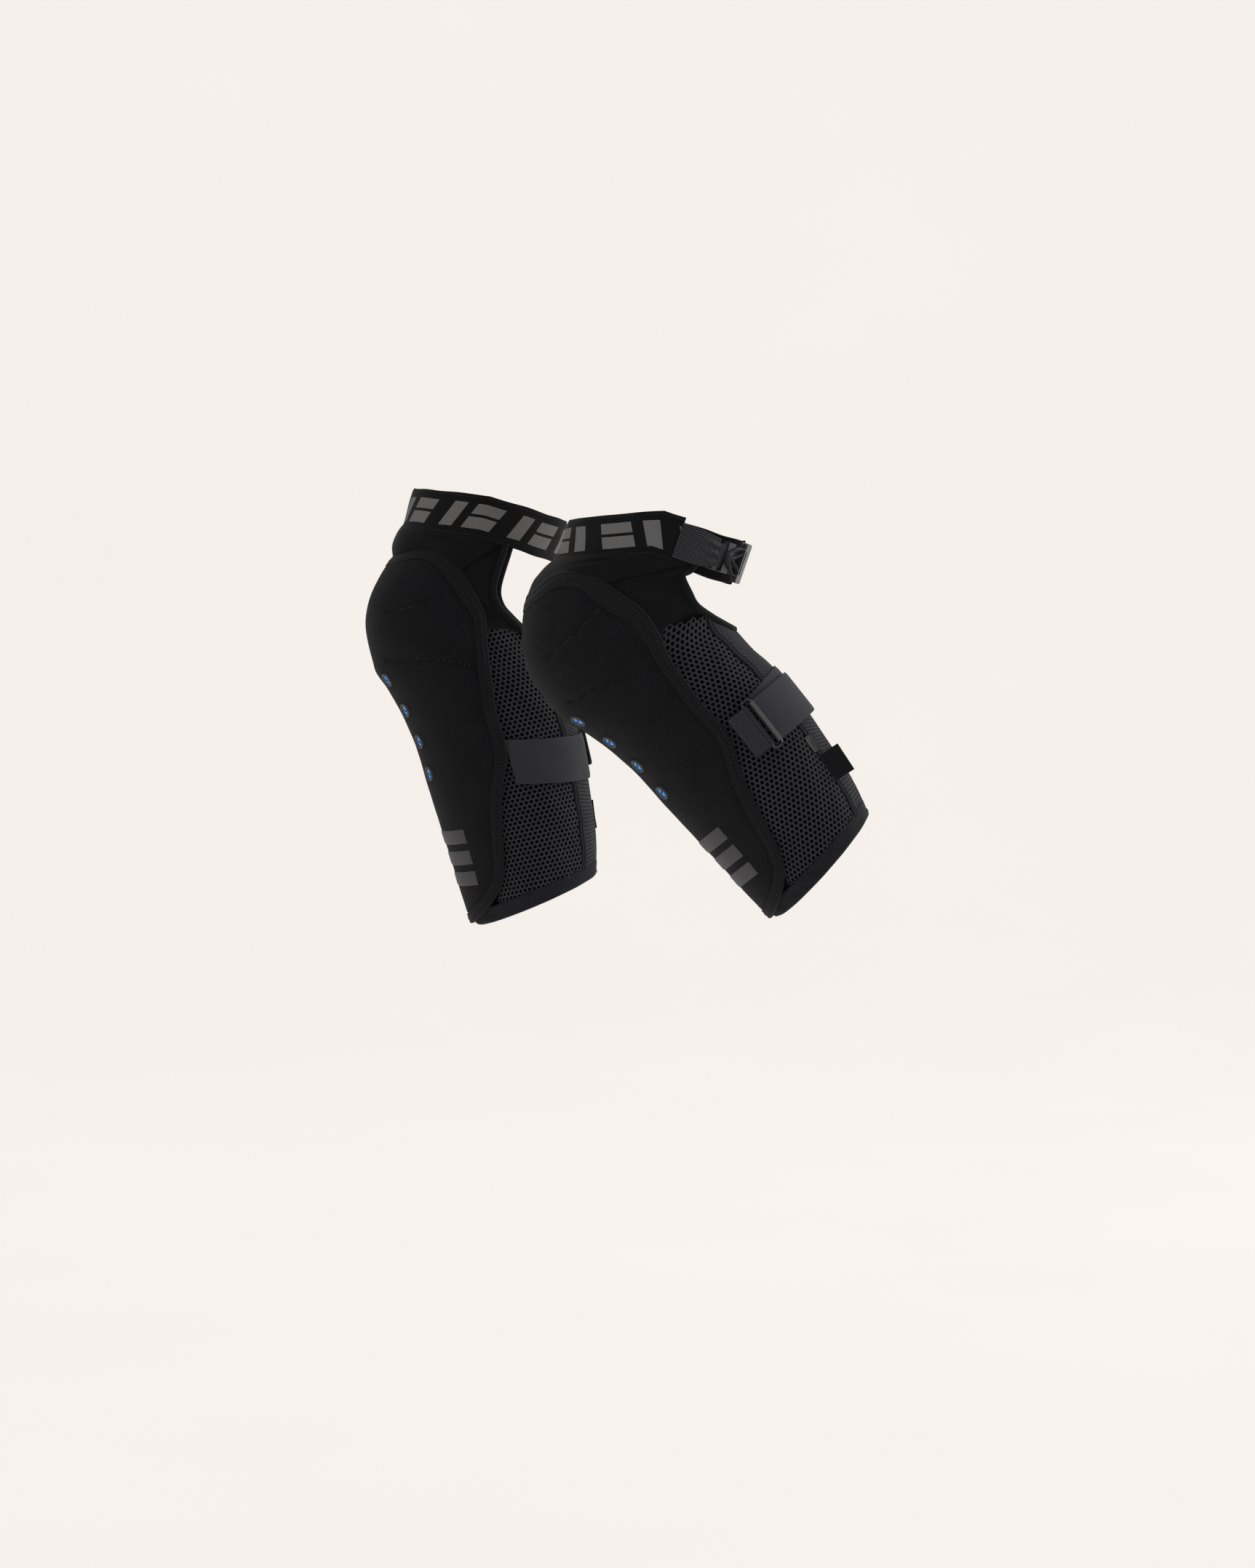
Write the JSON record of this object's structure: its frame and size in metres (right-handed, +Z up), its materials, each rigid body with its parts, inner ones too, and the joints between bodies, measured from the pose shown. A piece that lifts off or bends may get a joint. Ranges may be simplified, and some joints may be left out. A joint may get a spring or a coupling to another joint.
{
  "type": "knee guards",
  "caption": "Pair of soft-armour knee and shin guards: sewn front shell over a moulded protector, mesh sleeve, calf strap with ring, and elastic thigh band with hook.",
  "frame": {"origin": "centre of the left knee, on the axis that the left guard bends about", "axes": "+Z up, the wearer faces -Y, the wearer's left is +X; both guards are posed as worn in a stride"},
  "size_m": [0.3596, 0.4066, 0.3652],
  "materials": {
    "armour_blue": "matte moulded soft armour",
    "lining": "brushed lining",
    "shell_knit": "fine diagonal knit",
    "shell_edge": "double-stitched edge band",
    "eyelet_plastic": "moulded, satin",
    "print_rubber": "raised rubber print",
    "spacer_mesh": "open 3D spacer mesh",
    "ribbed_mesh": "fine ribbed mesh",
    "softshell": "smooth stretch knit",
    "binding_tape": "folded stretch tape",
    "strap_elastic": "brushed elastic",
    "webbing": "ribbed webbing",
    "label_satin": "woven satin",
    "ring_wire": "black coated wire",
    "band_elastic": "jacquard elastic",
    "silicone": "silicone grip",
    "buckle_plastic": "moulded nylon"
  },
  "bodies": {
    "left_shin": {"left_protector": "armour_blue", "left_lining": "lining", "left_shell_cover": "shell_knit", "left_shell_flange": "shell_edge", "left_eyelets": "eyelet_plastic", "left_shin_print": "print_rubber", "left_outer_mesh": "spacer_mesh", "left_inner_mesh": "spacer_mesh", "left_back_panel": "ribbed_mesh", "left_gussets": "softshell", "left_opening_binding": "binding_tape", "left_bottom_hem": "spacer_mesh", "left_calf_strap": "strap_elastic", "left_ring_loop": "webbing", "left_size_label": "label_satin", "left_woven_label": "label_satin"},
    "left_ring_body": {"left_ring": "ring_wire"},
    "left_tab_body": {"left_strap_tab": "strap_elastic"},
    "left_thigh": {"left_top_panel": "softshell", "left_thigh_band": "band_elastic", "left_grip_strip": "silicone", "left_adjuster_webbing": "webbing", "left_adjuster_strap": "webbing", "left_catch_plate": "buckle_plastic"},
    "left_slider_body": {"left_slider": "buckle_plastic"},
    "left_hook_body": {"left_hook_plate": "buckle_plastic"},
    "right_shin": {"right_protector": "armour_blue", "right_lining": "lining", "right_shell_cover": "shell_knit", "right_shell_flange": "shell_edge", "right_eyelets": "eyelet_plastic", "right_shin_print": "print_rubber", "right_outer_mesh": "spacer_mesh", "right_inner_mesh": "spacer_mesh", "right_back_panel": "ribbed_mesh", "right_gussets": "softshell", "right_opening_binding": "binding_tape", "right_bottom_hem": "spacer_mesh", "right_calf_strap": "strap_elastic", "right_ring_loop": "webbing", "right_size_label": "label_satin", "right_woven_label": "label_satin"},
    "right_ring_body": {"right_ring": "ring_wire"},
    "right_tab_body": {"right_strap_tab": "strap_elastic"},
    "right_thigh": {"right_top_panel": "softshell", "right_thigh_band": "band_elastic", "right_grip_strip": "silicone", "right_adjuster_webbing": "webbing", "right_adjuster_strap": "webbing", "right_catch_plate": "buckle_plastic"},
    "right_slider_body": {"right_slider": "buckle_plastic"},
    "right_hook_body": {"right_hook_plate": "buckle_plastic"}
  },
  "joints": [
    {"name": "left_knee_flex", "type": "hinge", "parent": "left_shin", "child": "left_thigh", "pos_m": [0, 0, 0], "axis": [-1, 0, 0], "range_deg": [-57, 20]},
    {"name": "left_ring_swivel", "type": "hinge", "parent": "left_shin", "child": "left_ring_body", "pos_m": [0.05765, 0.12333, -0.05779], "axis": [0, 0.6225, -0.7826], "range_deg": [0, 45]},
    {"name": "left_tab_peel", "type": "hinge", "parent": "left_ring_body", "child": "left_tab_body", "pos_m": [0.05468, 0.12914, -0.05316], "axis": [0, 0.6225, -0.7826], "range_deg": [0, 90]},
    {"name": "left_slider_travel", "type": "slide", "parent": "left_thigh", "child": "left_slider_body", "axis": [-0.8102, 0.5542, -0.1908], "range_m": [-0.004, 0.004]},
    {"name": "left_hook_release", "type": "slide", "parent": "left_thigh", "child": "left_hook_body", "axis": [0.2583, 0.9134, -0.3145], "range_m": [0, 0.02]},
    {"name": "right_knee_flex", "type": "hinge", "parent": "right_shin", "child": "right_thigh", "pos_m": [-0.23, -0.14, 0.018], "axis": [-1, 0, 0], "range_deg": [-30, 47]},
    {"name": "right_ring_swivel", "type": "hinge", "parent": "right_shin", "child": "right_ring_body", "pos_m": [-0.28764, -0.05357, -0.08725], "axis": [0, -0.225, 0.9744], "range_deg": [0, 45]},
    {"name": "right_tab_peel", "type": "hinge", "parent": "right_ring_body", "child": "right_tab_body", "pos_m": [-0.28468, -0.04633, -0.08558], "axis": [0, -0.225, 0.9744], "range_deg": [0, 90]},
    {"name": "right_slider_travel", "type": "slide", "parent": "right_thigh", "child": "right_slider_body", "axis": [0.8207, 0.5464, -0.1671], "range_m": [-0.004, 0.004]},
    {"name": "right_hook_release", "type": "slide", "parent": "right_thigh", "child": "right_hook_body", "axis": [-0.2492, 0.9261, -0.2831], "range_m": [0, 0.02]},
    {"name": "right_guard_apart", "type": "slide", "parent": "left_shin", "child": "right_shin", "axis": [-1, 0, 0], "range_m": [0, 0.06]}
  ]
}
